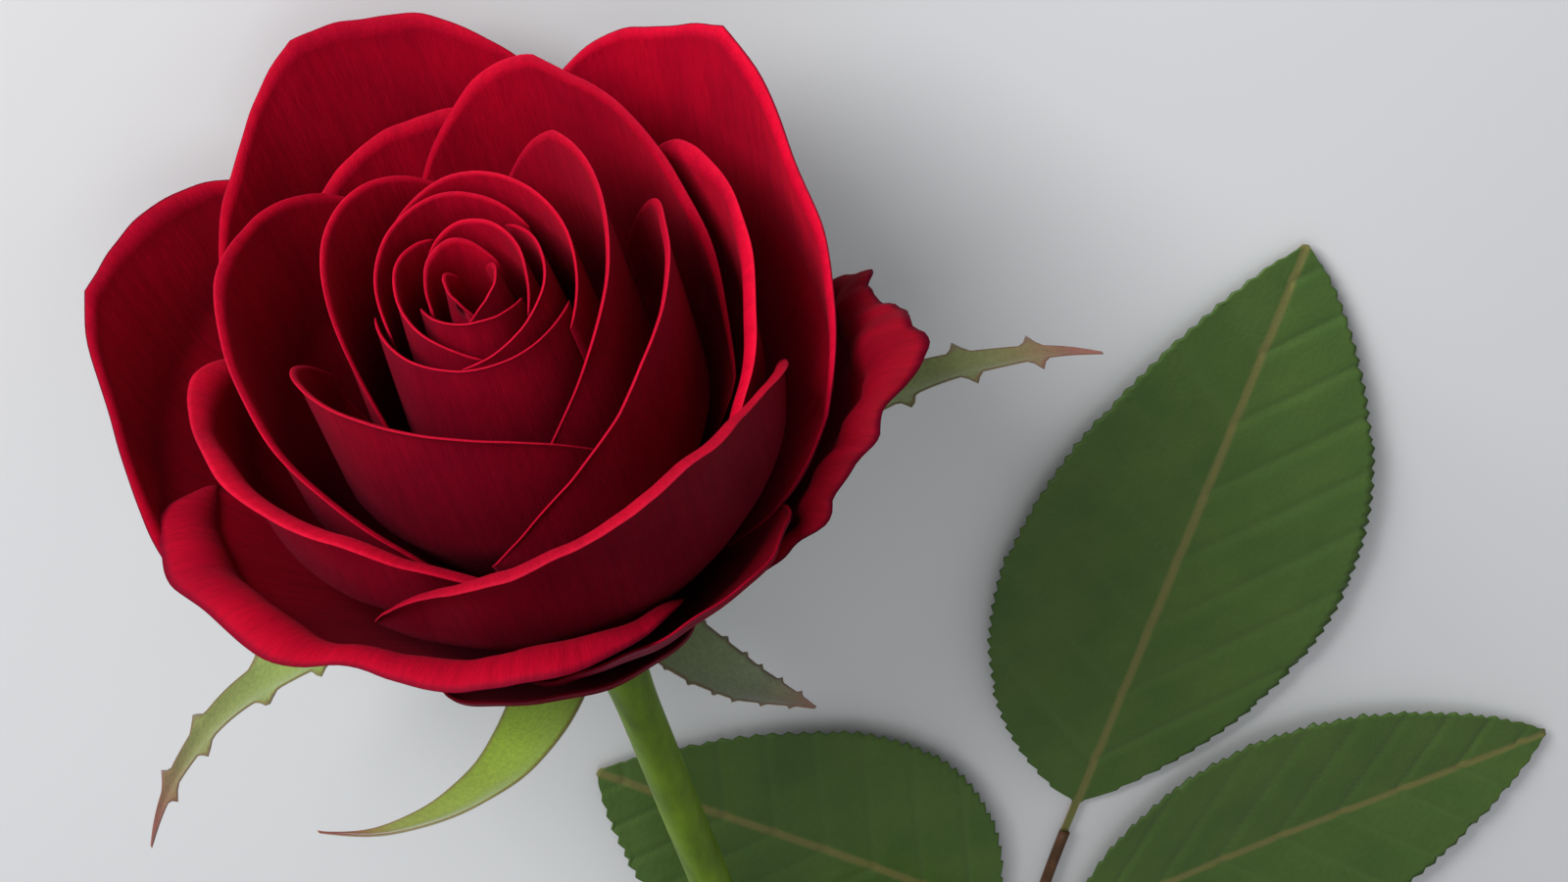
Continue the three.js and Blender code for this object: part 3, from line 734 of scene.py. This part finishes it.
def build_sepal(sepal, material, seed):
    name, foot_angle, length, drift, lift, breadth, tooth, tone = sepal
    rows, columns = SEPAL_GRID
    v = np.linspace(0, 1, rows)[:, None]
    u = np.linspace(-1, 1, columns)[None, :]
    teeth = np.maximum(0, np.sin(v * TEETH_RATE + ripple(v * 9, seed))) ** TEETH_POWER
    width = breadth * (0.75 + 0.9 * v) * (1 - v) ** (0.9 * breadth) + 0.05
    jut = np.sign(u) * np.abs(u) ** 8 * teeth * tooth * ease(np.clip(v * 3, 0, 1))
    side = u * SEPAL_WIDTH / 2 * width + jut
    cup = SEPAL_CUP * np.sin(np.pi * v) * u**2
    radius = RECEPTACLE_RADIUS + GAP + SEPAL_THICKNESS + length * v
    angle = np.radians(foot_angle + drift * v * v)
    sway = SEPAL_SWAY * ripple(v * 7, seed + 20) * v
    height = SEPAL_FOOT + lift * v**1.5 - SEPAL_SAG * np.sin(np.pi * v) + cup + sway
    x = radius * np.cos(angle) - side * np.sin(angle)
    y = radius * np.sin(angle) + side * np.cos(angle)
    grid = np.stack([x, y, height + 0 * u], -1)
    thickness = SEPAL_THICKNESS * (1 - 0.55 * v) * (1 - 0.6 * np.abs(u) ** 3)
    middle = laid(grid)
    middle[..., 2] = np.maximum(middle[..., 2], thickness)
    vertices, faces, sides = sheet(middle, thickness)
    numbers = {
        "across_mm": both(side),
        "along_mm": both(length * v + 0 * u),
        "along": both(v + 0 * u),
        "edge": both(np.abs(u) + 0 * v),
        "side": sides,
        "tone": np.full(len(vertices), tone),
        "seed": np.full(len(vertices), float(seed)),
    }
    take_place(new_object(f"fine_{name}", vertices, faces, numbers, [material]), "sepal", name)


# Stem and leaf, on the surface


STEM_DRIFT = 5

# Sideways drift as a share of STEM_DRIFT, distance as a share of the landing, and height as a share
# of the fall
STEM_BENDS = [
    (0, 0.35, 0.65),
    (0, 0.7, 0.31),
    (0.2, 1.05, 0.08),
    (0.6, 1.4, 0),
]


def stem_points():
    slope = np.tan(np.radians(BLOOM_TILT))
    drop = NECK[2] - SURFACE
    fall = drop - STEM_RADIUS
    landing = fall / slope
    bends = [
        (drift * STEM_DRIFT, landing * distance, STEM_RADIUS + fall * height)
        for drift, distance, height in STEM_BENDS
    ]
    neck, end = (0, GAP, drop - GAP * slope), (STEM_DRIFT, STEM_LENGTH, STEM_RADIUS)
    return np.array([neck, *bends, end]) + [NECK[0], NECK[1], SURFACE]


def centripetal(points, count):
    """count points on the centripetal Catmull-Rom curve through points."""

    def between(t, ends, values, i):
        start, stop = ends
        return ((stop - t) * values[i] + (t - start) * values[i + 1]) / (stop - start)

    padded = np.vstack([2 * points[0] - points[1], points, 2 * points[-1] - points[-2]])
    made = []
    for k in range(len(points) - 1):
        p = padded[k : k + 4]
        knots = np.concatenate([[0], np.cumsum(np.linalg.norm(np.diff(p, axis=0), axis=1) ** 0.5)])
        for t in np.linspace(knots[1], knots[2], count // (len(points) - 1), endpoint=False):
            a = [between(t, (knots[i], knots[i + 1]), p, i) for i in range(3)]
            b = [between(t, (knots[i], knots[i + 2]), a, i) for i in range(2)]
            made.append(between(t, (knots[1], knots[2]), b, 0))
    return np.array(made + [points[-1]])


STEM_STEPS = 150
STEM_ROUTE = centripetal(stem_points(), STEM_STEPS)
STEM_SIDES = 24
JOINT_SWELLING = 0.35
JOINT_LENGTH = 4.5
JOINT_LIMIT = 0.1  # keeps the swelling off the surface
COLLAR_SWELLING = 0.5
COLLAR_LENGTH = 7
SLIMNESS = 0.96  # share of STEM_RADIUS between the swellings


def build_stem(skin, cut):
    """A round stem that swells at the leaf's joint and ends in a slanted cut."""
    steps = np.linalg.norm(np.diff(STEM_ROUTE, axis=0), axis=1)
    along = np.concatenate([[0], np.cumsum(steps)])
    swelling = JOINT_SWELLING * np.exp(-(((along - LEAF_JOINT) / JOINT_LENGTH) ** 2))
    collar = COLLAR_SWELLING * np.exp(-((along / COLLAR_LENGTH) ** 2))
    radii = STEM_RADIUS * SLIMNESS + np.minimum(swelling, JOINT_LIMIT) + collar
    vertices, faces = tube(STEM_ROUTE, radii, STEM_SIDES)
    end = STEM_ROUTE[-1][1] - 2 * STEM_RADIUS
    over = vertices[:, 1] - (end + vertices[:, 2] - STEM_RADIUS)
    vertices[:, 1] -= np.maximum(over, 0)
    piece = new_object("fine_stem", vertices, faces, {}, [skin, cut], [0] * (len(faces) - 1) + [1])
    take_place(piece, "stem", "stem")


def rachis_route(t):
    """Points along the leaf's stalk, t from 0 at the stem to 1 at the end leaflet's foot."""
    low = np.array(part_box("leaf_stalk")[0]) / MM
    high = np.array(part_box("leaf_stalk")[1]) / MM
    heading = np.radians(LEAF_HEADING)
    forward = np.array([np.cos(heading), np.sin(heading)])
    start = np.array([high[0] + RACHIS_RADIUS * forward[1], high[1] + RACHIS_RADIUS * forward[0]])
    t = np.asarray(t, float)
    place = start + forward * (t[..., None] * RACHIS_LENGTH)
    share = np.maximum(t, 0)
    landing = (STEM_RADIUS - RACHIS_RADIUS) * (1 - share) ** RACHIS_LANDING
    height = low[2] + RACHIS_RADIUS + landing + RACHIS_ARCH * np.sin(np.pi * share) ** 2
    return np.concatenate([place, height[..., None]], -1)


RACHIS_ROOT = 0.035  # share of its length by which the stalk runs on into the stem
STIPULE_SHARE = 0.21  # share of the stalk's length that the stipules run along
STIPULE_WIDTH = 1.9
STIPULE_THICKNESS = 0.3


def build_rachis(material):
    """The leaf's stalk, which swells into the stem, and the two stipules along its foot."""
    t = np.linspace(-RACHIS_ROOT, 1, 70)
    radii = RACHIS_RADIUS * (1.0 - 0.15 * t) + 0.5 * np.exp(-(((t + RACHIS_ROOT) / 0.05) ** 2))
    vertices, faces = tube(rachis_route(t), radii, 12)
    heading = np.radians(LEAF_HEADING)
    across = np.array([-np.sin(heading), np.cos(heading), 0])
    v = np.linspace(0, 1, 30)[:, None]
    u = np.linspace(-1, 1, 11)[None, :]
    half = RACHIS_RADIUS * 0.5 + STIPULE_WIDTH * np.sin(np.pi * v**0.8) ** 0.7 * (1 - 0.3 * v)
    wings = rachis_route(STIPULE_SHARE * v + 0 * u) + across * (u * half)[..., None]
    wings[..., 2] += 0.9 * u**2 - 0.2
    points, quads, _ = sheet(wings, STIPULE_THICKNESS + 0 * (u * v))
    faces += [[k + len(vertices) for k in face] for face in quads]
    vertices = np.concatenate([vertices, points])
    piece = new_object("fine_leaf_stalk", vertices, faces, {}, [material])
    take_place(piece, "leaf_stalk", "leaf_stalk")


LEAFLET_GRID = (150, 41)  # rows and columns
LEAFLET_BELLY = 0.85
LEAFLET_FULLNESS = 0.8
TOOTH_LENGTH = 1.9
TOOTH_DEPTH = 0.9
VEINS = 8.5  # pairs of side veins
VEIN_SLANT = 0.85
VEIN_DEPTH = 0.35
RIB_WIDTH = 0.8
RIB_SINK = 0.25
QUILTING = 0.18


def build_leaflet(leaflet, material, seed):
    name, back, side_of, angle, length, full_width, tip_lift = leaflet
    turn = np.radians(LEAF_HEADING + side_of * angle)
    axis = np.array([np.cos(turn), np.sin(turn)])
    across_axis = np.array([-np.sin(turn), np.cos(turn)])
    setoff = RACHIS_RADIUS + GAP + (LEAFLET_SETOFF if side_of else 0)
    start = rachis_route(np.array(1 - back / RACHIS_LENGTH))
    rows, columns = LEAFLET_GRID
    v = np.linspace(0, 1, rows)[:, None]
    u = np.linspace(-1, 1, columns)[None, :]
    bare = LEAFLET_STALK / length
    blade = np.clip((v - bare) / (1 - bare), 0, 1)
    bow = np.sin(np.pi * blade**LEAFLET_BELLY) ** LEAFLET_FULLNESS
    half = np.maximum(full_width / 2 * bow, RACHIS_RADIUS * 0.6)
    teeth = (v * length / TOOTH_LENGTH) % 1.0
    serration = (TOOTH_DEPTH * teeth - 0.5) * np.clip(half / 6, 0, 1) * (blade > 0)
    side = u * half + np.sign(u) * np.abs(u) ** 6 * serration
    veins = np.cos(2 * np.pi * (v * length - VEIN_SLANT * np.abs(side)) / (length / VEINS))
    vein = np.maximum(0, veins) ** 14 * np.clip(half / 6, 0, 1)
    rib = np.exp(-((side / RIB_WIDTH) ** 2)) + 0 * v
    settle = ease(np.clip(v * 2, 0, 1))
    fold = LEAFLET_FOLD * np.abs(u) * np.sin(np.pi * blade)
    puckers = QUILTING * ripple(v * 9 + u * 3, seed) * np.abs(u) * np.sin(np.pi * blade)
    quilt = -VEIN_DEPTH * vein + puckers
    lying = start[2] * (1 - settle) + (tip_lift + SURFACE) * settle
    height = lying + fold + quilt - RIB_SINK * rib
    height = np.maximum(height, LEAFLET_THICKNESS * 0.9)
    along = setoff * np.clip(v * 10, 0, 1) + v * length
    place = start[:2] + axis * along[..., None] + across_axis * side[..., None]
    grid = np.concatenate([place, height[..., None]], -1)
    thickness = LEAFLET_THICKNESS * (0.5 + 0.9 * rib) * np.clip(0.5 + half / 8, 0, 1)
    vertices, faces, sides = sheet(grid, np.minimum(thickness, 0.8))
    numbers = {
        "across_mm": both(side),
        "along_mm": both(v * length + 0 * u),
        "vein": both(vein + 0 * u),
        "rib": both(np.maximum(rib, np.where(blade > 0, 0, 1))),
        "side": sides,
        "seed": np.full(len(vertices), float(seed)),
    }
    take_place(new_object(f"fine_{name}", vertices, faces, numbers, [material]), "leaf", name)


# Stage


CAMERA_DISTANCE = 480
CAMERA_ELEVATION = 54
CAMERA_ROLL = 22
LENS = 101.25
SENSOR = 36
HEART_LEFT = 4.15  # degrees from the middle of the view to the heart
HEART_ABOVE = 2.14
FLOOR_SIZE = 6
FLOOR_DROP = 0.0004  # keeps the floor from sharing a face with what lies on it
FLOOR_GREYS = [(0.3, (0.69, 0.70, 0.715)), (0.7, (0.71, 0.72, 0.735))]
WORLD_COLOUR = (0.95, 0.97, 1.0, 1)
WORLD_STRENGTH = 0.27

# Places are in metres from the heart, sizes in metres and powers in watts
KEY_LAMP = {"place": (0.40, -0.9, 0.45), "size": 0.5, "power": 17}
TOP_LAMP = {"place": (0.4, -0.5, 1.2), "size": 1.2, "power": 5}


def build_camera():
    """Looks down on the bloom, upside down, so that the stem runs to the foot of the image."""
    heart = Vector(laid([0, 0, HEART_HEIGHT])) * MM
    rise, roll = np.radians(CAMERA_ELEVATION), np.radians(CAMERA_ROLL)
    back = Vector((0, -np.cos(rise), np.sin(rise)))
    right, up = Vector((-1, 0, 0)), Vector((0, -np.sin(rise), -np.cos(rise)))
    right, up = right * np.cos(roll) - up * np.sin(roll), up * np.cos(roll) + right * np.sin(roll)
    place = heart + back * CAMERA_DISTANCE * MM
    aim = -back + right * np.tan(np.radians(HEART_LEFT)) - up * np.tan(np.radians(HEART_ABOVE))
    aim.normalize()
    side = aim.cross(up).normalized()
    matrix = Matrix((side, side.cross(aim), -aim)).transposed().to_4x4()
    matrix.translation = place
    data = bpy.data.cameras.new("camera")
    data.lens, data.sensor_width = LENS, SENSOR
    data.clip_start = 0.01
    camera = bpy.data.objects.new("camera", data)
    camera.matrix_world = matrix
    bpy.context.scene.collection.objects.link(camera)
    bpy.context.scene.camera = camera


def build_floor():
    bpy.ops.mesh.primitive_plane_add(size=FLOOR_SIZE, location=(0, 0, -FLOOR_DROP))
    floor = bpy.context.object
    floor.name = "floor"
    nodes = Nodes("floor_paint")
    coordinates = nodes.tree.nodes.new("ShaderNodeTexCoord").outputs["Object"]
    colour = nodes.ramp(nodes.noise(coordinates, 4.0, 2.0), FLOOR_GREYS)
    floor.data.materials.append(nodes.finish(colour, 0.8, 0.1))


def area_light(name, place, size, power):
    """A soft square lamp, aimed at the heart."""
    data = bpy.data.lights.new(name, "AREA")
    data.energy, data.size = power, size
    light = bpy.data.objects.new(name, data)
    heart = Vector(laid([0, 0, HEART_HEIGHT])) * MM
    light.location = heart + Vector(place)
    light.rotation_euler = (-Vector(place)).to_track_quat("-Z", "Y").to_euler()
    bpy.context.scene.collection.objects.link(light)


def build_lights():
    area_light("key", **KEY_LAMP)
    area_light("top", **TOP_LAMP)
    world = bpy.data.worlds.new("studio")
    bpy.context.scene.world = world
    world.use_nodes = True
    background = world.node_tree.nodes["Background"]
    background.inputs["Color"].default_value = WORLD_COLOUR
    background.inputs["Strength"].default_value = WORLD_STRENGTH


def main():
    build_camera()
    build_floor()
    build_lights()
    bpy.context.scene.view_settings.view_transform = "Standard"
    build_petals(
        petal_material("petal_velvet", outer=False),
        petal_material("petal_back", outer=True),
        lambda name: "petal_outer" if name.startswith("petal_outer") else "petal",
    )
    green = bark_material("receptacle_skin", (0.16, 0.28, 0.05), (0.08, 0.16, 0.03), 400.0)
    build_receptacle(green)
    build_stamens(stamen_material())
    down = sepal_material("sepal_down")
    for seed, sepal in enumerate(SEPALS):
        build_sepal(sepal, down, seed)
    skin = bark_material("stem_skin", (0.17, 0.30, 0.006), (0.08, 0.15, 0.003), 350.0)
    build_stem(skin, bark_material("stem_cut", (0.60, 0.62, 0.36), (0.36, 0.44, 0.18), 900.0))
    build_rachis(bark_material("leaf_stalk_skin", (0.13, 0.055, 0.03), (0.06, 0.03, 0.012), 900.0))
    blade = leaf_material("leaf_blade")
    for seed, leaflet in enumerate(LEAFLETS):
        build_leaflet(leaflet, blade, seed)


main()
